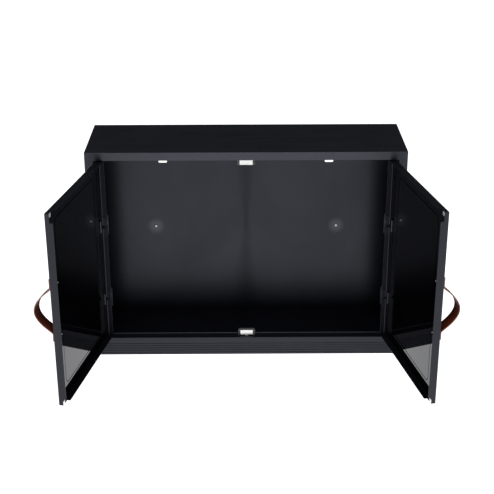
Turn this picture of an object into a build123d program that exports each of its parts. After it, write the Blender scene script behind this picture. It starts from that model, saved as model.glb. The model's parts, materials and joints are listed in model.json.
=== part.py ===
from build123d import *
import math
import os

# Media cabinet: a folded steel box with two inset doors on pin hinges, magnetic catches
# and leather strap pulls.  Millimetres, +Z up, +Y towards the wall.
# Origin: the middle of the front lower edge, on the floor.  The doors are drawn shut and
# then turned about their pins to the open rest position.

# ---- driving dimensions -------------------------------------------------------------
width = 1000.0
depth = 300.0
height = 700.0
body_sheet = 1.2
back_sheet = 1.0
frame_sheet = 1.5
stile_face = 27.0
top_rail_face = 26.0
bottom_rail_face = 62.0
frame_return = 40.0
recess = 26.0
stop_side = 30.0
stop_edge = 5.0
stop_roll = 1.5
floor_height = 51.5
cable_space = 73.0
edge_radius = 0.9
groove_count = 5
groove_first = 8.5
groove_pitch = 8.0
groove_half = 1.3
groove_depth = 0.8

door_thick = 24.0
door_sheet = 0.8
door_gap = 3.0
door_open = 101.3
bend_radius = 1.6
liner_thick = 3.2
liner_inset = 1.0

hinge_heights = (200.0, 452.0)
pivot_in = 8.0
pivot_back = 5.2
pin_radius = 2.0
pin_clearance = 0.05
knuckle_radius = 3.6
frame_knuckle = 10.0
door_knuckle = 13.0
leaf_height = 64.0
leaf_sheet = 1.5
arm_thick = 2.0
liner_hinge_inset = 14.0

strap_width = 42.0
strap_thick = 3.0
strap_from_edge = 22.0
strap_screws_z = (292.0, 456.0)
strap_tab = 16.0
strap_bulge = 54.0
strap_bends_z = (299.0, 440.0)
strap_droop = 2.0
strap_ease = 0.12
strap_round = 0.85

slot_x = 273.6
slot_z = 597.0
slot_length = 28.0
slot_height = 8.0
back_screw_x = 303.0
back_screw_z = 369.7

# Catches in the middle of the doorway, and the doors' notches and strike plates for them.
notch_depth = 13.8
notch_along = 34.0
notch_top = 28.0
notch_bottom = 21.0
strike_width = 14.0
strike_drop = 11.5
strike_sheet = 1.5
strike_foot_back = 8.0
catch_gap = 0.4
catch_half = 27.5
catch_reach_top = 21.0
catch_reach_bottom = 21.5
catch_corner = 6.0
cup_setback = 2.2
cup_wall = 2.0
plate_half = 20.2
plate_thick = 1.6
plate_margin = 2.5
catch_screw_rise = 10.0
catch_screw_in = 2.9
catch_screw_head = 2.0
plate_lift = 3.0
plate_tab_half = 4.5
plate_tongue_half = 7.0

# Folds, rivets and screws.
flange = 14.0
bolt_hole = 1.65
rivet_shank = 1.6
rivet_head = 3.0
rivet_tail = 2.8
rivet_tail_high = 1.2
frame_rivet_in = 14.0
frame_rivet_rise = 22.0
door_rivet_back = 17.0
door_rivet_rise = 27.0
door_rivet_head_high = 0.8
frame_rivet_head_high = 0.9
bead_radius = 2.4
bead_back = 10.0
hinge_slot = 5.6
hinge_slot_deep = 4.0
window_half_x = 2.6
window_half_z = 6.0
knuckle_gap = 0.5
leaf_reach = 4.0
strap_hole = 2.2
strap_screw_radius = 2.0
strap_screw_length = 22.5
strap_head_radius = 4.2
strap_head_high = 2.6
washer_radius = 6.0
washer_thick = 0.8
nut_flat_radius = 3.5
nut_high = 3.2
field_margin = 38.0
field_margin_free = 64.0
field_corner = 18.0
field_groove = 2.8
field_groove_deep = 2.4

# ---- derived places -----------------------------------------------------------------
half = width / 2
open_half = half - stile_face
open_low = bottom_rail_face
open_high = height - top_rail_face
door_low = open_low + door_gap
door_high = open_high - door_gap
door_hinge_x = -open_half + door_gap
door_free_x = -door_gap / 2
pivot_x = door_hinge_x + pivot_in
back_rear = depth - cable_space
back_face = back_rear - back_sheet
stop_back = recess + body_sheet
liner_face = door_sheet + liner_thick
strap_x = door_free_x - strap_from_edge
catch_front = notch_depth + catch_gap


def block(x0, x1, y0, y1, z0, z1):
    """A box between two corners."""
    size = Box(abs(x1 - x0), abs(y1 - y0), abs(z1 - z0))
    return Pos((x0 + x1) / 2, (y0 + y1) / 2, (z0 + z1) / 2) * size


def rod(radius, length, x, y, z, axis):
    """A cylinder that starts at a point and runs along +X, +Y or +Z."""
    turn = {"x": Rot(0, 90, 0), "y": Rot(-90, 0, 0), "z": Rot(0, 0, 0)}[axis]
    body = Cylinder(radius, length, align=(Align.CENTER, Align.CENTER, Align.MIN))
    return Pos(x, y, z) * turn * body


def mirrored(part):
    """The same part on the other side of the middle plane."""
    return mirror(part, about=Plane.YZ)


# ---- carcass ------------------------------------------------------------------------
def top_panel():
    """Roof sheet with flanges turned down at the back and sides."""
    inner = half - body_sheet
    sheet = block(-half, half, frame_return, depth, height - body_sheet, height)
    rear = block(-inner, inner, depth - body_sheet, depth, height - flange, height - body_sheet)
    return sheet + rear


def side_panel():
    """Left wall, with a flange turned in where it meets the room's wall."""
    wall = block(-half, -half + body_sheet, frame_return, depth, 0, height - body_sheet)
    rear = block(-half + body_sheet, -half + flange, depth - body_sheet, depth, 0, height - flange)
    return wall + rear


def wall_slots():
    """Two rounded slots that hang the cabinet on wall screws."""
    cutters = []
    for side in (-1, 1):
        outline = SlotOverall(slot_length, slot_height)
        tool = extrude(Plane.XZ * outline, amount=back_sheet * 4, both=True)
        cutters.append(Pos(side * slot_x, back_face, slot_z) * tool)
    return cutters


def back_panel():
    """Back sheet, set in to leave cable space, with edge flanges, wall slots and two fixing holes."""
    edge = half - body_sheet
    top = height - body_sheet
    sheet = block(-edge, edge, back_face, back_rear, 0, top)
    sheet += block(-edge, edge, back_rear, back_rear + flange, top - back_sheet, top)
    for side in (-1, 1):
        sheet += block(side * edge, side * (edge - back_sheet), back_rear, back_rear + flange, 0, top)
    for cutter in wall_slots():
        sheet -= cutter
    for side in (-1, 1):
        sheet -= rod(2.3, back_sheet * 4, side * back_screw_x, back_face - back_sheet, back_screw_z, "y")
    return sheet


def back_screws():
    """Pan-head screws in the lower fixing holes, each with its washer face and shank."""
    screws = []
    for side in (-1, 1):
        x = side * back_screw_x
        head = rod(4.5, 2.4, x, back_face - 2.4, back_screw_z, "y")
        head = fillet(head.edges().sort_by(Axis.Y)[0], 1.4)
        shank = rod(2.2, back_sheet - 0.1, x, back_face, back_screw_z, "y")
        near = back_face - 2.5
        deep = back_face - 1.3
        cross = block(x - 3, x + 3, near, deep, back_screw_z - 0.5, back_screw_z + 0.5)
        cross += block(x - 0.5, x + 0.5, near, deep, back_screw_z - 3, back_screw_z + 3)
        screws.append(head + shank - cross)
    return screws


def floor_panel():
    """Raised floor tray, its side and rear flanges turned down to the ground."""
    x = half - body_sheet
    rear = back_face
    tray = block(-x, x, frame_return, rear, floor_height - body_sheet, floor_height)
    tray += block(-x, x, rear - body_sheet, rear, 0, floor_height - body_sheet)
    for side in (-1, 1):
        edge = side * x
        tray += block(edge, edge - side * body_sheet, frame_return, rear - body_sheet, 0,
                      floor_height - body_sheet)
    return tray


# ---- front frame --------------------------------------------------------------------
def rail_ends(low, high):
    """Short walls that close a rail's two ends."""
    s = frame_sheet
    left = block(-half, -half + s, s, frame_return, low, high)
    return left + mirrored(left)


def top_rail():
    """Upper front member: face, roof return, ends and the ledge over the doors."""
    s = frame_sheet
    face = block(-half, half, 0, s, open_high, height)
    roof = block(-half, half, s, frame_return, height - body_sheet, height)
    ledge = block(-half, half, s, recess, open_high, open_high + s)
    rail = face + roof + ledge + rail_ends(open_high, height)
    front = rail.edges().filter_by(Axis.X).group_by(Axis.Y)[0]
    return fillet(front, edge_radius)


def bottom_rail():
    """Lower front member, taller, with fine horizontal grooves pressed into its face."""
    s = frame_sheet
    face = block(-half, half, 0, s, 0, open_low)
    foot = block(-half, half, s, frame_return, 0, s)
    ledge = block(-half, half, s, recess, open_low - s, open_low)
    rise = block(-half, half, frame_return - s, frame_return, s, floor_height)
    rail = face + foot + ledge + rise + rail_ends(0, open_low)
    upper = rail.edges().filter_by(Axis.X).group_by(Axis.Y)[0].sort_by(Axis.Z)[-1]
    rail = fillet(upper, edge_radius)
    for number in range(groove_count):
        z = groove_first + number * groove_pitch
        wedge = Polygon((-0.1, z - groove_half), (groove_depth, z), (-0.1, z + groove_half), align=None)
        rail -= extrude(Plane.YZ * wedge, amount=half + 1, both=True)
    return rail


def stile():
    """Left upright between the rails: face, outer return and the inner return beside the door."""
    s = frame_sheet
    face = block(-half, -open_half, 0, s, open_low, open_high)
    outer = block(-half, -half + s, s, frame_return, open_low, open_high)
    inner = block(-open_half - s, -open_half, s, recess, open_low, open_high)
    post = face + outer + inner
    inner_edge = post.edges().filter_by(Axis.Z).group_by(Axis.Y)[0].sort_by(Axis.X)[-1]
    return fillet(inner_edge, edge_radius)


def hinge_window(z):
    """Cutter for the hinge arm's way through the side stop."""
    return block(pivot_x - window_half_x, pivot_x + window_half_x, recess - 1, stop_back + 1,
                 z - window_half_z, z + window_half_z)


def side_stop():
    """Left door stop: a flat strip behind the door's hinge edge, with two hinge windows."""
    strip = block(-open_half - frame_sheet, -open_half + stop_side, recess, stop_back, open_low, open_high)
    for z in hinge_heights:
        strip -= hinge_window(z)
        for side in (-1, 1):
            strip -= rod(bolt_hole, body_sheet * 3, pivot_x + frame_rivet_in, recess - body_sheet,
                         z + side * frame_rivet_rise, "y")
    return strip


def rail_stop(z_ledge, direction):
    """Door stop along a rail: it stands just past the ledge and ends in a rolled edge."""
    z_roll = z_ledge + direction * (stop_edge - stop_roll)
    z_root = z_ledge - direction * 10
    end = open_half - stop_side
    strip = block(-end, end, recess, stop_back, min(z_roll, z_root), max(z_roll, z_root))
    return strip + rod(stop_roll, 2 * end, -end, recess + stop_roll, z_roll, "x")


# ---- hinges -------------------------------------------------------------------------
def frame_leaf(z):
    """Leaf behind the side stop, with an arm forward to its knuckle."""
    foot = block(pivot_x - leaf_reach, -open_half + stop_side + leaf_reach, stop_back, stop_back + leaf_sheet,
                 z - leaf_height / 2, z + leaf_height / 2)
    arm = block(pivot_x - arm_thick / 2, pivot_x + arm_thick / 2, pivot_back, stop_back + leaf_sheet,
                z - frame_knuckle / 2, z + frame_knuckle / 2)
    knuckle = rod(knuckle_radius, frame_knuckle, pivot_x, pivot_back, z - frame_knuckle / 2, "z")
    leaf = foot + arm + knuckle
    leaf -= rod(pin_radius + pin_clearance, frame_knuckle + 2, pivot_x, pivot_back,
                z - frame_knuckle / 2 - 1, "z")
    for side in (-1, 1):
        leaf -= rod(bolt_hole, leaf_sheet * 3, pivot_x + frame_rivet_in, stop_back - leaf_sheet,
                    z + side * frame_rivet_rise, "y")
    return leaf


def frame_rivets():
    """Rivets that fix the frame leaves to the side stop."""
    rivets = []
    for z in hinge_heights:
        for side in (-1, 1):
            at = z + side * frame_rivet_rise
            x = pivot_x + frame_rivet_in
            shank = rod(rivet_shank, stop_back + leaf_sheet - recess, x, recess, at, "y")
            front = rod(rivet_head, frame_rivet_head_high, x, recess - frame_rivet_head_high, at, "y")
            rear = rod(rivet_tail, rivet_tail_high, x, stop_back + leaf_sheet, at, "y")
            rivets.append(shank + front + rear)
    return rivets


def door_leaf(z):
    """Pair of door leaves, above and below the arm: plate on the hinge flange and knuckle."""
    x0 = door_hinge_x + door_sheet
    x1 = x0 + leaf_sheet
    ears = []
    for side in (-1, 1):
        near = z + side * (frame_knuckle / 2 + knuckle_gap)
        far = near + side * door_knuckle
        low = min(near, far)
        tip = z + side * leaf_height / 2
        ear = block(x0, x1, liner_inset, door_thick - 2, z + side * hinge_slot, tip)
        ear += rod(knuckle_radius, door_knuckle, pivot_x, pivot_back, low, "z")
        ear += block(x1, pivot_x, pivot_back - 1.2, pivot_back + 1.2, low, low + door_knuckle)
        ear -= rod(pin_radius, door_knuckle + 2, pivot_x, pivot_back, low - 1, "z")
        ear -= rod(bolt_hole, leaf_sheet * 3, x0 - leaf_sheet, door_rivet_back,
                   z + side * door_rivet_rise, "x")
        ears.append(ear)
    return ears


def hinge_pin(z):
    """Pin pressed into the door's knuckles, with a small head on top."""
    reach = frame_knuckle / 2 + knuckle_gap + door_knuckle
    pin = rod(pin_radius, 2 * reach, pivot_x, pivot_back, z - reach, "z")
    head = rod(3.2, 1.6, pivot_x, pivot_back, z + reach, "z")
    return pin + head


def door_rivets():
    """Rivets through the door's hinge flange and the door leaves."""
    x0 = door_hinge_x
    rivets = []
    for z in hinge_heights:
        for side in (-1, 1):
            at = z + side * door_rivet_rise
            y = door_rivet_back
            shank = rod(rivet_shank, door_sheet + leaf_sheet, x0, y, at, "x")
            outer = rod(rivet_head, door_rivet_head_high, x0 - door_rivet_head_high, y, at, "x")
            inner = rod(rivet_tail, rivet_tail_high, x0 + door_sheet + leaf_sheet, y, at, "x")
            rivets.append(shank + outer + inner)
    return rivets


# ---- door ---------------------------------------------------------------------------
def stiffening_bead():
    """Half-round bead along the inside of the hinge flange, bridging the hinge leaves."""
    x0 = door_hinge_x + door_sheet
    low = door_low + door_sheet
    bead = rod(bead_radius, door_high - door_low - 2 * door_sheet, x0, bead_back, low, "z")
    bead -= block(x0 - bead_radius - 1, x0 - door_sheet / 2, 0, door_thick, low - 1, door_high + 1)
    for z in hinge_heights:
        bead -= block(x0 - 1, x0 + leaf_sheet, 0, door_thick, z - leaf_height / 2, z + leaf_height / 2)
    return bead


def door_pan():
    """Left door: a sheet-steel pan, open to the back, notched where it meets the catches."""
    outer = block(door_hinge_x, door_free_x, 0, door_thick, door_low, door_high)
    front = outer.faces().sort_by(Axis.Y)[0]
    uprights = outer.edges().filter_by(Axis.Y)
    outer = fillet(list(front.edges()) + list(uprights), bend_radius)
    t = door_sheet
    hollow = block(door_hinge_x + t, door_free_x - t, t, door_thick + 1, door_low + t, door_high - t)
    pan = outer - hollow + stiffening_bead()
    x_notch = door_free_x - notch_along
    pan -= block(x_notch, 1, notch_depth, door_thick + 1, door_high - notch_top, door_high + 1)
    pan -= block(x_notch, 1, notch_depth, door_thick + 1, door_low - 1, door_low + notch_bottom)
    for z in hinge_heights:
        pan -= block(door_hinge_x - 1, door_hinge_x + hinge_slot_deep, liner_inset, door_thick + 1,
                     z - hinge_slot, z + hinge_slot)
        for side in (-1, 1):
            pan -= rod(bolt_hole, 4, door_hinge_x - 1, door_rivet_back, z + side * door_rivet_rise, "x")
    for z in strap_screws_z:
        pan -= rod(strap_hole, 4, strap_x, -1, z, "y")
    return pan


def rounded_plate(wide, high, corner, thick):
    """An upright plate with rounded corners, centred on the origin."""
    plate = Box(wide, thick, high)
    return fillet(plate.edges().filter_by(Axis.Y), corner)


def door_liner():
    """Gloss panel against the inside of the skin, with a pressed rounded-rectangle field."""
    x0 = door_hinge_x + liner_hinge_inset
    x1 = door_free_x - door_sheet - 0.4
    z0 = door_low + door_sheet + 0.4
    z1 = door_high - door_sheet - 0.4
    liner = block(x0, x1, door_sheet, liner_face, z0, z1)
    field_x0 = x0 + field_margin
    field_x1 = door_free_x - field_margin_free
    field_wide = field_x1 - field_x0
    field_high = door_high - door_low - 2 * field_margin
    middle = Pos((field_x0 + field_x1) / 2, liner_face, (door_low + door_high) / 2)
    outer = rounded_plate(field_wide, field_high, field_corner, 2 * field_groove_deep)
    inner = rounded_plate(field_wide - 2 * field_groove, field_high - 2 * field_groove,
                          field_corner - field_groove, 3 * field_groove_deep)
    liner -= middle * (outer - inner)
    for z in strap_screws_z:
        liner -= rod(strap_hole, 8, strap_x, -1, z, "y")
    return liner


def strike_plates():
    """Two bright plates in the notched corners that the catches hold."""
    x1 = door_free_x - door_sheet
    x0 = x1 - strike_width
    y1 = notch_depth
    y0 = y1 - strike_sheet
    plates = []
    for z_edge, inward in ((door_high - door_sheet, -1), (door_low + door_sheet, 1)):
        z_tip = z_edge + inward * strike_drop
        z_foot = z_edge + inward * strike_sheet
        face = block(x0, x1, y0, y1, min(z_edge, z_tip), max(z_edge, z_tip))
        foot = block(x0, x1, strike_foot_back, y0, min(z_edge, z_foot), max(z_edge, z_foot))
        plates.append(face + foot)
    return plates


# ---- leather strap ------------------------------------------------------------------
def strap_middle(u):
    """Centre line of the strap's loop: u runs from 0 at the lower tab to 1 at the upper."""
    low_bend, high_bend = strap_bends_z
    arch = max(0.0, math.sin(math.pi * u))
    eased = (math.hypot(arch, strap_ease) - strap_ease) / (math.hypot(1, strap_ease) - strap_ease)
    bow = (strap_bulge - strap_thick / 2) * eased ** strap_round
    droop = strap_droop * arch ** 2
    return -strap_thick / 2 - bow, low_bend + (high_bend - low_bend) * u - droop


def strap():
    """Leather pull: two flat tabs on the skin and a bowed loop between them."""
    steps = 28
    outer = []
    inner = []
    for number in range(1, steps):
        u = number / steps
        y, z = strap_middle(u)
        y0, z0 = strap_middle(u - 0.01)
        y1, z1 = strap_middle(u + 0.01)
        run = math.hypot(y1 - y0, z1 - z0)
        side_y = (z1 - z0) / run * strap_thick / 2
        side_z = (y1 - y0) / run * strap_thick / 2
        outer.append((y - side_y, z + side_z))
        inner.append((y + side_y, z - side_z))
    low_end = strap_screws_z[0] - strap_tab
    high_end = strap_screws_z[1] + strap_tab
    low_bend, high_bend = strap_bends_z
    rise = ((0, 1), (0, 1))
    skin = 0.0
    face = -strap_thick
    outline = [
        Line((skin, low_end), (skin, low_bend)),
        Spline([(skin, low_bend)] + inner + [(skin, high_bend)], tangents=rise),
        Line((skin, high_bend), (skin, high_end)),
        Line((skin, high_end), (face, high_end)),
        Line((face, high_end), (face, high_bend)),
        Spline([(face, low_bend)] + outer + [(face, high_bend)], tangents=rise),
        Line((face, low_bend), (face, low_end)),
        Line((face, low_end), (skin, low_end)),
    ]
    ribbon = extrude(Plane.YZ * make_face(outline), amount=strap_width)
    pull = Pos(strap_x - strap_width / 2, 0, 0) * ribbon
    for z in strap_screws_z:
        pull -= rod(strap_hole, 10, strap_x, -6, z, "y")
    return pull


def strap_screws():
    """Machine screws through strap, skin and liner, with domed heads outside."""
    screws = []
    seat = -strap_thick - washer_thick
    for z in strap_screws_z:
        head = rod(strap_head_radius, strap_head_high, strap_x, seat - strap_head_high, z, "y")
        head = fillet(head.edges().sort_by(Axis.Y)[0], 1.8)
        shank = rod(strap_screw_radius, strap_screw_length, strap_x, seat, z, "y")
        tip = shank.edges().sort_by(Axis.Y)[-1]
        screws.append(head + chamfer(tip, 0.5))
    return screws


def strap_washers():
    """Flat washers under the screw heads."""
    washers = []
    for z in strap_screws_z:
        washer = rod(washer_radius, washer_thick, strap_x, -strap_thick - washer_thick, z, "y")
        washers.append(washer - rod(2.1, 2, strap_x, -strap_thick - 1.4, z, "y"))
    return washers


def strap_nuts():
    """Hexagon nuts on the liner."""
    nuts = []
    for z in strap_screws_z:
        hexagon = extrude(RegularPolygon(nut_flat_radius, 6, major_radius=False), amount=nut_high)
        nut = Pos(strap_x, liner_face, z) * Rot(-90, 0, 0) * hexagon
        nut -= rod(strap_screw_radius, 8, strap_x, liner_face - 2, z, "y")
        nuts.append(nut)
    return nuts


# ---- magnetic catches ---------------------------------------------------------------
def catch_bracket(z_seat, reach, direction):
    """Formed cup with rounded corners that holds the magnet to the ledge and stop."""
    z_far = z_seat + direction * reach
    low = min(z_seat, z_far)
    high = max(z_seat, z_far)
    y0 = catch_front + cup_setback
    y1 = recess
    cup = block(-catch_half, catch_half, y0, y1, low, high)
    far_edges = cup.edges().filter_by(Axis.Y).sort_by(Axis.Z)
    rounded = far_edges[-2:] if direction > 0 else far_edges[:2]
    cup = fillet(rounded, catch_corner)
    rim = plate_half + 1.5
    z_in = z_seat + direction * (reach - cup_wall)
    cup -= block(-rim, rim, y0 - 1, y1 - 1.5, min(z_seat - direction, z_in), max(z_seat - direction, z_in))
    return cup


def catch_magnet(z_seat, reach, direction):
    """Magnet block inside the cup, behind its pole plate."""
    z_far = z_seat + direction * (reach - plate_margin)
    y0 = catch_front + plate_thick
    return block(-plate_half, plate_half, y0, recess - 1.5, min(z_seat, z_far), max(z_seat, z_far))


def catch_plate(z_seat, reach, direction):
    """Bright pole plate with a tongue pressed in its middle."""
    z0 = z_seat + direction * plate_lift
    z1 = z_seat + direction * (reach - plate_margin)
    y0 = catch_front
    y1 = catch_front + plate_thick
    plate = block(-plate_half, plate_half, y0, y1, min(z0, z1), max(z0, z1))
    plate += block(-plate_tab_half, plate_tab_half, y0, y1, min(z_seat, z0), max(z_seat, z0))
    z_mid = (z0 + z1) / 2
    x_out = plate_tongue_half
    x_in = plate_tongue_half - 1
    slit = block(-x_out, -x_in, y0 - 1, y0 + plate_thick / 2, z_mid - 5, z_mid + 4)
    slit += block(x_in, x_out, y0 - 1, y0 + plate_thick / 2, z_mid - 5, z_mid + 4)
    slit += block(-x_out, x_out, y0 - 1, y0 + plate_thick / 2, z_mid - 5, z_mid - 4)
    return plate - slit


def catch_screws():
    """Two short screws in each bracket's ears, driven into the stop strips."""
    screws = []
    for z in (open_low + catch_screw_rise, open_high - catch_screw_rise):
        for side in (-1, 1):
            x = side * (catch_half - catch_screw_in)
            head = rod(catch_screw_head, 1.5, x, catch_front + 0.7, z, "y")
            screws.append(fillet(head.edges().sort_by(Axis.Y)[0], 0.7))
    return screws


# ---- write one file per piece -------------------------------------------------------
def solids_of(pieces):
    """Plain list of solids from a piece or a list of pieces."""
    if isinstance(pieces, list):
        found = []
        for piece in pieces:
            found.extend(piece.solids())
        return found
    return list(pieces.solids())


def write(name, pieces):
    """Write a node: one solid, or a group of separate ones."""
    solids = solids_of(pieces)
    shape = solids[0] if len(solids) == 1 else Compound(children=solids)
    export_step(shape, f"parts/{name}.step")


def opened(piece, side):
    """Turn a closed door's solid about its pin to the open rest position."""
    pin = Axis((pivot_x, pivot_back, 0), (0, 0, 1))
    turned = piece.rotate(pin, -door_open)
    return turned if side == "left" else mirrored(turned)


os.makedirs("parts", exist_ok=True)

write("top_panel", top_panel())
write("back_panel", back_panel())
write("back_screws", back_screws())
write("floor_panel", floor_panel())
write("top_rail", top_rail())
write("bottom_rail", bottom_rail())
write("top_stop", rail_stop(open_high, -1))
write("bottom_stop", rail_stop(open_low, 1))

catches = (("top", open_high, catch_reach_top, -1), ("bottom", open_low, catch_reach_bottom, 1))
for place, seat, reach, direction in catches:
    write(f"{place}_catch_bracket", catch_bracket(seat, reach, direction))
    write(f"{place}_catch_magnet", catch_magnet(seat, reach, direction))
    write(f"{place}_catch_plate", catch_plate(seat, reach, direction))
write("catch_screws", catch_screws())

fixed_pieces = {
    "side_panel": [side_panel()],
    "stile": [stile()],
    "side_stop": [side_stop()],
    "hinge_frame_leaves": [frame_leaf(z) for z in hinge_heights],
    "hinge_frame_rivets": frame_rivets(),
}
for name, pieces in fixed_pieces.items():
    write(f"left_{name}", solids_of(pieces))
    write(f"right_{name}", [mirrored(solid) for solid in solids_of(pieces)])

door_leaves = []
for hinge_z in hinge_heights:
    door_leaves.extend(door_leaf(hinge_z))
door_pieces = {
    "door_pan": [door_pan()],
    "door_liner": [door_liner()],
    "hinge_door_leaves": door_leaves,
    "hinge_door_rivets": door_rivets(),
    "hinge_pins": [hinge_pin(z) for z in hinge_heights],
    "strike_plates": strike_plates(),
    "leather_strap": [strap()],
    "strap_screws": strap_screws(),
    "strap_washers": strap_washers(),
    "strap_nuts": strap_nuts(),
}
for name, pieces in door_pieces.items():
    for side in ("left", "right"):
        write(f"{side}_{name}", [opened(solid, side) for solid in solids_of(pieces)])
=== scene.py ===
import json
import math

import bmesh
import bpy
from mathutils import Matrix, Vector


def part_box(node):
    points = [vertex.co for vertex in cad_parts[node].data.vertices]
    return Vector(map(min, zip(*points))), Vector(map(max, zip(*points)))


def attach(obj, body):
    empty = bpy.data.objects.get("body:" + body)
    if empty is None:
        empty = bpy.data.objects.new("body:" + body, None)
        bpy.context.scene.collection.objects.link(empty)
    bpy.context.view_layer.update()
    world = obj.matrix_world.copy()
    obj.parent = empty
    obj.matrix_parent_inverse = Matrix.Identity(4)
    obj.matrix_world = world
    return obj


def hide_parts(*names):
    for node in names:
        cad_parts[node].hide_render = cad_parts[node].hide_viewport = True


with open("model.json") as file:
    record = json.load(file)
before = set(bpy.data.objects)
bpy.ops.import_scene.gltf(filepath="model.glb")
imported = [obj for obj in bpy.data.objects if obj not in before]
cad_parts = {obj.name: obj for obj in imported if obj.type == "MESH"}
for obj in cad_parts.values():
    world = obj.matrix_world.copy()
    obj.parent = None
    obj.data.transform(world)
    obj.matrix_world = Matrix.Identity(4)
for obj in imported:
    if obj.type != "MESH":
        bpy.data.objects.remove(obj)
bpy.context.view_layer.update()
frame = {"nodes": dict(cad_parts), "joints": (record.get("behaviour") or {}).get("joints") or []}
nodes = frame["nodes"]


# ---- material helpers ---------------------------------------------------------------
MIX_FACTOR = 0
MIX_FIRST = 6
MIX_SECOND = 7
MIX_RESULT = 2


def colour_out(node):
    """A node's colour output, which a Mix node keeps third."""
    return node.outputs.get("Color") or node.outputs[MIX_RESULT]


class Shader:
    """A material's node tree, with short calls for the nodes that it needs."""

    def __init__(self, name):
        self.material = bpy.data.materials.new(name)
        self.material.use_nodes = True
        self.tree = self.material.node_tree
        self.tree.nodes.clear()
        self.output = self.add("ShaderNodeOutputMaterial")
        self.surface = self.add("ShaderNodeBsdfPrincipled")
        self.link(self.surface, "BSDF", self.output, "Surface")
        self.place = self.add("ShaderNodeTexCoord")

    def add(self, kind, **settings):
        node = self.tree.nodes.new(kind)
        for key, value in settings.items():
            setattr(node, key, value)
        return node

    def link(self, source, out, target, into):
        self.tree.links.new(source.outputs[out], target.inputs[into])

    def set(self, **values):
        """Fixed values on the surface node; an underscore stands for a space."""
        for key, value in values.items():
            self.surface.inputs[key.replace("_", " ")].default_value = value

    def coordinates(self, stretch):
        """(node, output) of the object's own coordinates, scaled along each axis if asked."""
        if stretch is None:
            return self.place, "Object"
        mapping = self.add("ShaderNodeMapping")
        mapping.inputs["Scale"].default_value = stretch
        self.link(self.place, "Object", mapping, "Vector")
        return mapping, "Vector"

    def axes(self):
        """The object's own coordinates as separate X, Y and Z outputs."""
        node = self.add("ShaderNodeSeparateXYZ")
        self.link(self.place, "Object", node, "Vector")
        return node

    def noise(self, scale, detail, rough, stretch=None, distortion=0.0):
        node = self.add("ShaderNodeTexNoise")
        node.inputs["Scale"].default_value = scale
        node.inputs["Detail"].default_value = detail
        node.inputs["Roughness"].default_value = rough
        node.inputs["Distortion"].default_value = distortion
        source, out = self.coordinates(stretch)
        self.link(source, out, node, "Vector")
        return node

    def cells(self, scale, feature="F1"):
        node = self.add("ShaderNodeTexVoronoi", feature=feature)
        node.inputs["Scale"].default_value = scale
        self.link(self.place, "Object", node, "Vector")
        return node

    def ramp(self, source, out, stops):
        """Colour ramp: the two stops are (position, grey level or colour)."""
        node = self.add("ShaderNodeValToRGB")
        for point, (position, level) in zip(node.color_ramp.elements, stops):
            point.position = position
            rgb = level if isinstance(level, tuple) else (level, level, level)
            point.color = (*rgb, 1.0)
        self.link(source, out, node, "Fac")
        return node

    def span(self, source, out, start, end, low=0.0, high=1.0, soft=False):
        """Maps start..end onto low..high, with soft ends if asked."""
        node = self.add("ShaderNodeMapRange", interpolation_type="SMOOTHSTEP" if soft else "LINEAR")
        node.inputs["From Min"].default_value = start
        node.inputs["From Max"].default_value = end
        node.inputs["To Min"].default_value = low
        node.inputs["To Max"].default_value = high
        self.link(source, out, node, "Value")
        return node

    def math(self, operation, *values):
        """A Math node; each value is a (node, output) pair or a number."""
        node = self.add("ShaderNodeMath", operation=operation)
        for slot, value in enumerate(values):
            if isinstance(value, tuple):
                self.link(value[0], value[1], node, slot)
            else:
                node.inputs[slot].default_value = value
        return node

    def mix(self, mask, first, second):
        """Mixes two colours by a mask node; each colour is a node or a fixed value."""
        node = self.add("ShaderNodeMix", data_type="RGBA")
        self.tree.links.new(mask.outputs[0], node.inputs[MIX_FACTOR])
        for slot, value in ((MIX_FIRST, first), (MIX_SECOND, second)):
            if isinstance(value, tuple):
                node.inputs[slot].default_value = (*value, 1.0)
            else:
                self.tree.links.new(colour_out(value), node.inputs[slot])
        return node

    def colour(self, node):
        """Base colour from a node's colour output."""
        self.tree.links.new(colour_out(node), self.surface.inputs["Base Color"])

    def gloss(self, source, stops):
        """Roughness from a ramp over a noise."""
        self.link(self.ramp(source, "Fac", stops), "Color", self.surface, "Roughness")

    def bump(self, *heights):
        """Bump from (node, output, strength, distance) entries, chained."""
        last = None
        for source, out, strength, distance in heights:
            node = self.add("ShaderNodeBump")
            node.inputs["Strength"].default_value = strength
            node.inputs["Distance"].default_value = distance
            self.link(source, out, node, "Height")
            if last:
                self.link(last, "Normal", node, "Normal")
            last = node
        self.link(last, "Normal", self.surface, "Normal")


# ---- powder coats -------------------------------------------------------------------
COOL_TINT = (0.82, 0.85, 1.0, 1.0)
BLACK = (0.0026, 0.0028, 0.0044)
SOOT = (0.0046, 0.0050, 0.0078)
ROOF_BLACK = (0.0040, 0.0043, 0.0066)
ROOF_SOOT = (0.0064, 0.0068, 0.0100)
# Stop strips: the shell's black coat painted lighter, a painted highlight along the stops.
STOP_DARK = (0.015, 0.016, 0.020)
STOP_LIGHT = (0.022, 0.024, 0.029)
WORN_COAT = (0.055, 0.056, 0.060)

# Edge wear: the bevel radius, how much of the coat it takes, and the cosine between the
# rounded and the flat normal where wear begins and where it is full.
WEAR_RADIUS = 0.0016
WEAR_REACH = 0.7
WEAR_BEGINS = 0.985
WEAR_IS_FULL = 0.80
SCUFF_STRENGTH = 0.5
SCUFF_LIFT = 2.2

# Painted sheen: the shell's shine grows with height up the sides, as if the light fell brighter near the
# top.
SHELL_SHINE_LOW = 0.42
SHELL_SHINE_HIGH = 0.74
SHEEN_RAMP_FROM = 0.15
SHEEN_RAMP_TO = 0.69

ROOF_SHINE_LOW = 0.38
ROOF_SHINE_HIGH = 0.66
ROOF_MOTTLE_LOW = 0.14
ROOF_MOTTLE_HIGH = 0.36
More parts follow.
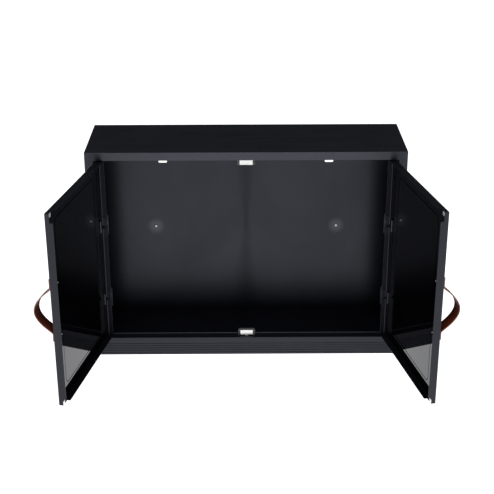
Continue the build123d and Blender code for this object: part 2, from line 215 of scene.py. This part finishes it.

# The back sheet: a painted dark streak in its sheen that widens above and below its waist, and a painted
# glint around a painted dark spot at each screw.
BACK_SHINE = 0.44
BACK_CLOUDS = 0.04
BACK_ROLLING = 0.55
WAIST_HEIGHT = 0.40
WAIST_HALF_WIDTH = 0.014
STREAK_SPREAD = 0.16
STREAK_DARKENS = 0.11
GLINT_RADIUS = 0.034
GLINT_BRIGHTENS = 0.55
DARK_SPOT_RADIUS = 0.010
DARK_SPOT_DULLS = 0.70

screws_low, screws_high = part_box("back_screws")
screw_head_radius = (screws_high.z - screws_low.z) / 2
BACK_SCREW_X = screws_high.x - screw_head_radius
BACK_SCREW_Z = (screws_low.z + screws_high.z) / 2
BACK_FRONT_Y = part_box("back_panel")[0].y


def edge_wear(shader):
    """Mask of sharp edges, broken up by noise: white where the coat has rubbed thin."""
    rounded = shader.add("ShaderNodeBevel", samples=4)
    rounded.inputs["Radius"].default_value = WEAR_RADIUS
    flat = shader.add("ShaderNodeNewGeometry")
    angle = shader.add("ShaderNodeVectorMath", operation="DOT_PRODUCT")
    shader.link(rounded, "Normal", angle, 0)
    shader.link(flat, "Normal", angle, 1)
    bent = shader.span(angle, "Value", WEAR_BEGINS, WEAR_IS_FULL)
    patchy = shader.noise(34.0, 6.0, 0.7)
    broken = shader.ramp(patchy, "Fac", ((0.42, 0.0), (0.66, WEAR_REACH)))
    return shader.math("MULTIPLY", (bent, "Result"), (broken, "Color"))


def powder_coat(name, dark, light, rough_low, rough_high, grain=0.25, scuff=1.0, shine=0.5):
    """Satin powder coat over sheet steel: orange peel, slow waves, dusty scuffs and worn edges."""
    shader = Shader(name)
    shader.set(Specular_IOR_Level=shine, Specular_Tint=COOL_TINT)
    patches = shader.noise(3.2, 5.0, 0.6)
    tone = shader.ramp(patches, "Fac", ((0.3, dark), (0.72, light)))
    scuffs = shader.noise(9.0, 9.0, 0.72, stretch=(0.5, 2.4, 0.5), distortion=0.6)
    scuff_mask = shader.ramp(scuffs, "Fac", ((0.60, 0.0), (0.80, SCUFF_STRENGTH * scuff)))
    scuffed = shader.mix(scuff_mask, tone, tuple(channel * SCUFF_LIFT for channel in light))
    shader.colour(shader.mix(edge_wear(shader), scuffed, WORN_COAT))
    shader.gloss(scuffs, ((0.3, rough_low), (0.75, rough_high)))
    peel = shader.noise(900.0, 2.0, 0.5)
    waves = shader.noise(5.0, 2.0, 0.4, stretch=(1.0, 1.0, 0.35))
    shader.bump((waves, "Fac", 0.08, 0.003), (peel, "Fac", grain, 0.0002))
    return shader


def shell_coat(name):
    """The outer shell's powder coat, with a painted sheen that grows towards the roof, where the light
    falls brighter.
    """
    shader = powder_coat(name, BLACK, SOOT, 0.28, 0.40)
    heights = shader.axes()
    shine = shader.span(heights, "Z", SHEEN_RAMP_FROM, SHEEN_RAMP_TO, SHELL_SHINE_LOW, SHELL_SHINE_HIGH, soft=True)
    shader.link(shine, "Result", shader.surface, "Specular IOR Level")
    return shader


def roof_sheet_coat(name):
    """The roof's coat: duller, mottled, with faint roller lines that run along the sheet."""
    shader = powder_coat(name, ROOF_BLACK, ROOF_SOOT, 0.30, 0.48, scuff=1.6)
    rolled = shader.noise(46.0, 4.0, 0.6, stretch=(0.05, 1.0, 1.0))
    mottled = shader.noise(14.0, 6.0, 0.65, distortion=0.4)
    level = shader.math("MULTIPLY", (rolled, "Fac"), (mottled, "Fac"))
    mottle = (ROOF_MOTTLE_LOW, ROOF_MOTTLE_HIGH)
    shine = shader.span(level, "Value", *mottle, ROOF_SHINE_LOW, ROOF_SHINE_HIGH)
    shader.link(shine, "Result", shader.surface, "Specular IOR Level")
    return shader


def near_spot(shader, centre, radius):
    """Soft mask: 1 at a point of the object's own space, 0 from the radius outwards."""
    away = shader.add("ShaderNodeVectorMath", operation="DISTANCE")
    shader.link(shader.place, "Object", away, 0)
    away.inputs[1].default_value = centre
    return shader.span(away, "Value", radius, 0.0, soft=True)


def painted_dark_streak(shader):
    """Mask of the painted dark streak down the sheet's middle, narrowest at the waist."""
    parts = shader.axes()
    across = shader.math("ABSOLUTE", (parts, "X"))
    from_waist = shader.math("SUBTRACT", (parts, "Z"), WAIST_HEIGHT)
    spread = shader.math("ABSOLUTE", (from_waist, "Value"))
    half_width = shader.math("MULTIPLY_ADD", (spread, "Value"), STREAK_SPREAD, WAIST_HALF_WIDTH)
    ratio = shader.math("DIVIDE", (across, "Value"), (half_width, "Value"))
    return shader.span(ratio, "Value", 1.0, 0.0, 0.0, STREAK_DARKENS, soft=True)


def back_sheet_coat(name):
    """The back sheet's rolled satin, with painted light: a glint around a dark spot at each of its two
    screws, and a dark streak down the middle.
    """
    shader = powder_coat(name, BLACK, SOOT, 0.30, 0.36, grain=0.05, scuff=0.5, shine=BACK_SHINE)
    shader.set(Anisotropic=BACK_ROLLING)
    rolled = shader.add("ShaderNodeTangent", direction_type="RADIAL", axis="X")
    shader.link(rolled, "Tangent", shader.surface, "Tangent")
    clouds = shader.noise(3.6, 6.0, 0.62, stretch=(1.3, 1.0, 0.7), distortion=0.6)
    cloudy = shader.span(clouds, "Fac", 0.3, 0.7, BACK_SHINE - BACK_CLOUDS, BACK_SHINE + BACK_CLOUDS)
    level = shader.math("SUBTRACT", (cloudy, "Result"), (painted_dark_streak(shader), "Result"))
    # Painted glint around each screw, with a painted dark spot at its middle.
    for side in (-1, 1):
        screw = (side * BACK_SCREW_X, BACK_FRONT_Y, BACK_SCREW_Z)
        glint_mask = near_spot(shader, screw, GLINT_RADIUS)
        lift = shader.math("MULTIPLY", (glint_mask, "Result"), GLINT_BRIGHTENS)
        level = shader.math("ADD", (level, "Value"), (lift, "Value"))
        dark_spot_mask = near_spot(shader, screw, DARK_SPOT_RADIUS)
        darkened = shader.math("MULTIPLY", (dark_spot_mask, "Result"), DARK_SPOT_DULLS)
        level = shader.math("SUBTRACT", (level, "Value"), (darkened, "Value"))
    level.use_clamp = True
    shader.link(level, "Value", shader.surface, "Specular IOR Level")
    return shader


# ---- other hard materials -----------------------------------------------------------
LINER_IOR = 1.32


def gloss_liner(name):
    """Mirror-gloss black panel with a trace of dust and polishing marks."""
    shader = Shader(name)
    shader.set(IOR=LINER_IOR, Specular_Tint=COOL_TINT)
    haze = shader.noise(7.0, 6.0, 0.6)
    tone = ((0.35, (0.0006, 0.0006, 0.0010)), (0.75, (0.0016, 0.0016, 0.0022)))
    shader.colour(shader.ramp(haze, "Fac", tone))
    wipes = shader.noise(30.0, 8.0, 0.7, stretch=(1.0, 1.0, 4.0))
    shader.gloss(wipes, ((0.3, 0.02), (0.8, 0.05)))
    swell = shader.noise(4.0, 1.0, 0.3)
    shader.bump((swell, "Fac", 0.03, 0.002))
    return shader


def bright_plate(name):
    """Bright-plated steel with faint brushing."""
    shader = Shader(name)
    shader.set(Metallic=0.55)
    brush = shader.noise(60.0, 5.0, 0.6, stretch=(0.6, 1.0, 14.0))
    shader.colour(shader.ramp(brush, "Fac", ((0.3, (0.80, 0.80, 0.79)), (0.7, (0.93, 0.93, 0.92)))))
    shader.gloss(brush, ((0.3, 0.22), (0.7, 0.38)))
    shader.bump((brush, "Fac", 0.08, 0.0002))
    return shader


def plated_steel(name, dark, light):
    """Zinc-plated steel: mottled crystals and small tool marks."""
    shader = Shader(name)
    shader.set(Metallic=0.9)
    crystals = shader.cells(700.0)
    shader.colour(shader.ramp(crystals, "Distance", ((0.1, dark), (0.8, light))))
    marks = shader.noise(400.0, 4.0, 0.6)
    shader.gloss(marks, ((0.3, 0.25), (0.7, 0.48)))
    shader.bump((marks, "Fac", 0.12, 0.0001))
    return shader


def moulded_grey(name):
    """Moulded grey plastic with a fine spark-eroded grain."""
    shader = Shader(name)
    speck = shader.noise(600.0, 3.0, 0.6)
    shader.colour(shader.ramp(speck, "Fac", ((0.3, (0.075, 0.075, 0.072)), (0.7, (0.11, 0.11, 0.105)))))
    shader.gloss(speck, ((0.3, 0.35), (0.7, 0.5)))
    shader.bump((speck, "Fac", 0.2, 0.0002))
    return shader


def magnet_block(name):
    """Sintered ferrite: near black, matt and gritty."""
    shader = Shader(name)
    grit = shader.noise(1200.0, 4.0, 0.7)
    shader.colour(shader.ramp(grit, "Fac", ((0.3, 0.008), (0.7, 0.02))))
    shader.gloss(grit, ((0.3, 0.6), (0.7, 0.8)))
    shader.bump((grit, "Fac", 0.3, 0.0002))
    return shader


# ---- materials on the CAD nodes -----------------------------------------------------
body_coat = shell_coat("body_coat").material
roof_coat = roof_sheet_coat("roof_coat").material
floor_coat = powder_coat("floor_coat", BLACK, SOOT, 0.16, 0.26, grain=0.08, scuff=0.6, shine=0.30).material
back_coat = back_sheet_coat("back_coat").material
# Painted highlight: the stops get a lighter copy of the black coat.
stop_highlight_coat = powder_coat("stop_highlight_coat", STOP_DARK, STOP_LIGHT, 0.28, 0.40, shine=0.60).material
door_coat = powder_coat("door_coat", BLACK, SOOT, 0.28, 0.40, shine=0.38).material
liner_gloss = gloss_liner("liner_gloss").material
plate_bright = bright_plate("plate_bright").material
zinc = plated_steel("zinc", (0.42, 0.42, 0.43), (0.68, 0.68, 0.69)).material
dark_steel = plated_steel("dark_steel", (0.03, 0.03, 0.033), (0.06, 0.06, 0.065)).material
bracket_grey = moulded_grey("bracket_grey").material
ferrite = magnet_block("ferrite").material

# The first word found in a node's name decides; every other node has the shell's coat.
MATERIAL_WORDS = (
    ("liner", liner_gloss),
    ("catch_plate", plate_bright),
    ("strike_plates", plate_bright),
    ("catch_magnet", ferrite),
    ("catch_bracket", bracket_grey),
    ("pins", dark_steel),
    ("catch_screws", dark_steel),
    ("screws", zinc),
    ("washers", zinc),
    ("nuts", zinc),
    ("door_pan", door_coat),
    ("back_panel", back_coat),
    ("floor_panel", floor_coat),
    ("top_panel", roof_coat),
    ("_stop", stop_highlight_coat),
)


def dress(name, thing):
    """Gives a CAD node its material by the words in its name."""
    chosen = next((material for word, material in MATERIAL_WORDS if word in name), body_coat)
    if not thing.material_slots:
        thing.data.materials.append(chosen)
    for place in thing.material_slots:
        place.material = chosen


for node_name, thing in nodes.items():
    dress(node_name, thing)


# ---- leather ------------------------------------------------------------------------
PORE_SHADE = 0.45


def leather(name, deep, tan, gloss_low, gloss_high):
    """Vegetable-tanned leather: pebbled grain, pores, creases and a waxy finish."""
    shader = Shader(name)
    shader.set(Specular_IOR_Level=0.30)
    blotches = shader.noise(26.0, 6.0, 0.62)
    tone = shader.ramp(blotches, "Fac", ((0.30, deep), (0.72, tan)))
    pores = shader.cells(620.0)
    pore_mask = shader.ramp(pores, "Distance", ((0.05, 0.5), (0.45, 0.0)))
    shader.colour(shader.mix(pore_mask, tone, tuple(channel * PORE_SHADE for channel in deep)))
    rub = shader.noise(70.0, 6.0, 0.65)
    shader.gloss(rub, ((0.3, gloss_low), (0.75, gloss_high)))
    pebbles = shader.cells(420.0, "SMOOTH_F1")
    creases = shader.noise(60.0, 7.0, 0.7, stretch=(1.0, 1.0, 2.2), distortion=0.8)
    shader.bump((creases, "Fac", 0.35, 0.0012), (pebbles, "Distance", 0.4, 0.0005))
    return shader


leather_face = leather("leather_face", (0.080, 0.0125, 0.0050), (0.165, 0.029, 0.011), 0.42, 0.60).material
leather_edge = leather("leather_edge", (0.26, 0.115, 0.085), (0.42, 0.22, 0.175), 0.45, 0.65).material


# ---- leather straps -----------------------------------------------------------------
# The hinge's upper limit is the shut door, so it is also how far the doors stand open at rest.
left_hinge = next(joint for joint in frame["joints"] if joint["child"] == "left_door")
PIN = Vector(left_hinge["pos_m"])
DOOR_OPEN = math.radians(left_hinge["range_deg"][1])

# Places on the shut left door, whose outer skin is at y 0.
strap_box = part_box("left_leather_strap")
STRAP_LOW = strap_box[0].z
STRAP_HIGH = strap_box[1].z
STRAP_WIDE = 0.042
STRAP_THICK = 0.003
STRAP_MIDDLE_X = -0.0235
STRAP_BEND_LOW = 0.299
STRAP_BEND_HIGH = 0.440

# The loop: how far it bows out, how far its middle hangs, and the roundness of its bends.
STRAP_BOW = 0.0525
STRAP_DROOP = 0.002
STRAP_EASE = 0.12
STRAP_ROUND = 0.85

# The hand-cut look: a rounded, paler edge, a slight cup and sway, and ripples in the grain.
STRAP_CORNER = 0.0009
STRAP_EDGE_BAND = 0.0006
STRAP_CUP = 0.0005
STRAP_SWAY = 0.0006
STRAP_RIPPLE = 0.00012
SWAY_ALONG = 9.0
RIPPLE_ALONG = 95
RIPPLE_ACROSS = 210
SWELL_ALONG = 38
SWELL_ACROSS = -90

TAB_STEPS = 14
LOOP_STEPS = 110
CORNER_STEPS = 4
FACE_STEPS = 8


def rest_place(x, y, z, side):
    """A point on the shut left door, moved to the open rest pose; side -1 left, 1 right."""
    away_x = x - PIN.x
    away_y = y - PIN.y
    turned_x = PIN.x + away_x * math.cos(DOOR_OPEN) + away_y * math.sin(DOOR_OPEN)
    turned_y = PIN.y - away_x * math.sin(DOOR_OPEN) + away_y * math.cos(DOOR_OPEN)
    return Vector((turned_x if side < 0 else -turned_x, turned_y, z))


def strap_points():
    """Centre line of the strap as (y, z), from the lower end to the upper."""
    points = []
    seat = -STRAP_THICK / 2
    for step in range(TAB_STEPS):
        points.append((seat, STRAP_LOW + (STRAP_BEND_LOW - STRAP_LOW) * step / TAB_STEPS))
    for step in range(LOOP_STEPS + 1):
        u = step / LOOP_STEPS
        arch = max(0.0, math.sin(math.pi * u))
        eased = (math.hypot(arch, STRAP_EASE) - STRAP_EASE) / (math.hypot(1, STRAP_EASE) - STRAP_EASE)
        bow = STRAP_BOW * eased ** STRAP_ROUND
        droop = STRAP_DROOP * arch ** 2
        rise = STRAP_BEND_LOW + (STRAP_BEND_HIGH - STRAP_BEND_LOW) * u
        points.append((seat - bow, rise - droop))
    for step in range(1, TAB_STEPS + 1):
        points.append((seat, STRAP_BEND_HIGH + (STRAP_HIGH - STRAP_BEND_HIGH) * step / TAB_STEPS))
    return points


def strap_line():
    """The centre line with its outward direction: (y, z, outward y, outward z)."""
    points = strap_points()
    line = []
    for number, (y, z) in enumerate(points):
        before = points[max(0, number - 1)]
        after = points[min(len(points) - 1, number + 1)]
        run_y = after[0] - before[0]
        run_z = after[1] - before[1]
        length = math.hypot(run_y, run_z)
        line.append((y, z, -run_z / length, run_y / length))
    return line


def strap_section():
    """Cross-section as (across, out): a slab with rounded corners and points along both faces."""
    flat_wide = STRAP_WIDE / 2 - STRAP_CORNER
    flat_thick = STRAP_THICK / 2 - STRAP_CORNER
    ring = []
    for side_x, side_y, first in ((1, 1, 0), (-1, 1, 90), (-1, -1, 180), (1, -1, 270)):
        for step in range(CORNER_STEPS + 1):
            angle = math.radians(first + 90 * step / CORNER_STEPS)
            across = side_x * flat_wide + STRAP_CORNER * math.cos(angle)
            out = side_y * flat_thick + STRAP_CORNER * math.sin(angle)
            ring.append((across, out))
        if side_x == side_y:
            for step in range(1, FACE_STEPS):
                spread = 1 - 2 * step / FACE_STEPS
                ring.append((side_x * spread * flat_wide, side_y * STRAP_THICK / 2))
    return ring


def strap_rows(mesh, ring, side):
    """One row of vertices for each point of the line, with the cup, sway and ripples."""
    line = strap_line()
    rows = []
    for number, (y, z, out_y, out_z) in enumerate(line):
        u = number / (len(line) - 1)
        loose = math.sin(math.pi * u) ** 2
        sway = STRAP_SWAY * loose * math.sin(SWAY_ALONG * u + side)
        row = []
        for across, out in ring:
            cup = STRAP_CUP * loose * (across / (STRAP_WIDE / 2)) ** 2
            ripple = math.sin(RIPPLE_ALONG * u + RIPPLE_ACROSS * across)
            swell = math.sin(SWELL_ALONG * u + SWELL_ACROSS * across)
            lift = out - cup + STRAP_RIPPLE * loose * ripple * swell
            place = rest_place(STRAP_MIDDLE_X + across + sway, y + out_y * lift, z + out_z * lift, side)
            row.append(mesh.verts.new(place))
        rows.append(row)
    return rows


def strap(side):
    """One leather pull as a closed mesh that follows the bowed line; side -1 left, 1 right."""
    word = "left" if side < 0 else "right"
    ring = strap_section()
    mesh = bmesh.new()
    rows = strap_rows(mesh, ring, side)
    for first, second in zip(rows, rows[1:]):
        for number, (across, _) in enumerate(ring):
            after = (number + 1) % len(ring)
            face = mesh.faces.new((first[number], first[after], second[after], second[number]))
            middle = (across + ring[after][0]) / 2
            face.material_index = 1 if abs(middle) > STRAP_WIDE / 2 - STRAP_EDGE_BAND else 0
            face.smooth = True
    for row in (rows[0], rows[-1]):
        cap = mesh.faces.new(row)
        cap.material_index = 1
    bmesh.ops.recalc_face_normals(mesh, faces=mesh.faces)
    data = bpy.data.meshes.new(f"{word}_strap_leather")
    mesh.to_mesh(data)
    mesh.free()
    data.materials.append(leather_face)
    data.materials.append(leather_edge)
    thing = bpy.data.objects.new(f"{word}_strap_leather", data)
    bpy.context.scene.collection.objects.link(thing)
    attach(thing, f"{word}_door")
    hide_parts(f"{word}_leather_strap")


strap(-1)
strap(1)


# ---- floor, light and camera --------------------------------------------------------
FLOOR_REACH = 200.0
FLOOR_GLOW = 1.05
SKY_COLOUR = (0.86, 0.91, 1.0, 1)
SKY_STRENGTH = 0.052
SOFTBOX_PLACE = Vector((0, -1.6, 4.5))
SOFTBOX_AIM = Vector((0, -0.6, 0))
SOFTBOX_SIZE = (5.0, 3.0)
SOFTBOX_POWER = 135
CAMERA_PLACE = Vector((-0.0124, -3.4625, 1.8191))
CAMERA_PITCH = math.radians(24.71)
CAMERA_YAW = math.radians(0.232)
CAMERA_ROLL = math.radians(-0.161)
CAMERA_SENSOR = 36.0
CAMERA_LENS = 85.5
CAMERA_RISE = 0.0917


def floor():
    """Plain white studio floor, lit from below like a light table."""
    shader = Shader("studio_floor")
    speck = shader.noise(3.0, 3.0, 0.5)
    shader.colour(shader.ramp(speck, "Fac", ((0.3, 0.90), (0.7, 0.93))))
    shader.set(Roughness=0.9, Emission_Color=(1, 1, 1, 1), Emission_Strength=FLOOR_GLOW)
    mesh = bpy.data.meshes.new("studio_floor")
    corners = [(x * FLOOR_REACH, y * FLOOR_REACH, 0) for x, y in ((-1, -1), (1, -1), (1, 1), (-1, 1))]
    mesh.from_pydata(corners, [], [(0, 1, 2, 3)])
    mesh.materials.append(shader.material)
    thing = bpy.data.objects.new("studio_floor", mesh)
    bpy.context.scene.collection.objects.link(thing)


def sky():
    """Even, dim and slightly cool surroundings."""
    world = bpy.data.worlds.new("studio")
    world.use_nodes = True
    background = world.node_tree.nodes["Background"]
    background.inputs["Color"].default_value = SKY_COLOUR
    background.inputs["Strength"].default_value = SKY_STRENGTH
    bpy.context.scene.world = world


def softbox():
    """Weak rectangular area light overhead."""
    light = bpy.data.lights.new("overhead", "AREA")
    light.shape = "RECTANGLE"
    light.size, light.size_y = SOFTBOX_SIZE
    light.energy = SOFTBOX_POWER
    thing = bpy.data.objects.new("overhead", light)
    thing.location = SOFTBOX_PLACE
    thing.rotation_mode = "QUATERNION"
    thing.rotation_quaternion = (SOFTBOX_AIM - SOFTBOX_PLACE).to_track_quat("-Z", "Y")
    bpy.context.scene.collection.objects.link(thing)


def camera():
    """Camera at the reference view: a long lens, above and in front of the cabinet."""
    level = math.cos(CAMERA_PITCH)
    ahead = Vector((math.sin(CAMERA_YAW) * level, math.cos(CAMERA_YAW) * level, -math.sin(CAMERA_PITCH)))
    side = Vector((math.cos(CAMERA_YAW), -math.sin(CAMERA_YAW), 0))
    up = side.cross(ahead)
    right = side * math.cos(CAMERA_ROLL) + up * math.sin(CAMERA_ROLL)
    top = up * math.cos(CAMERA_ROLL) - side * math.sin(CAMERA_ROLL)
    data = bpy.data.cameras.new("camera")
    data.sensor_width = CAMERA_SENSOR
    data.lens = CAMERA_LENS
    data.shift_y = CAMERA_RISE
    thing = bpy.data.objects.new("camera", data)
    turn = Matrix((right, top, -ahead)).transposed()
    thing.matrix_world = Matrix.Translation(CAMERA_PLACE) @ turn.to_4x4()
    bpy.context.scene.collection.objects.link(thing)
    bpy.context.scene.camera = thing


floor()
sky()
softbox()
camera()
bpy.context.scene.view_settings.view_transform = "Standard"
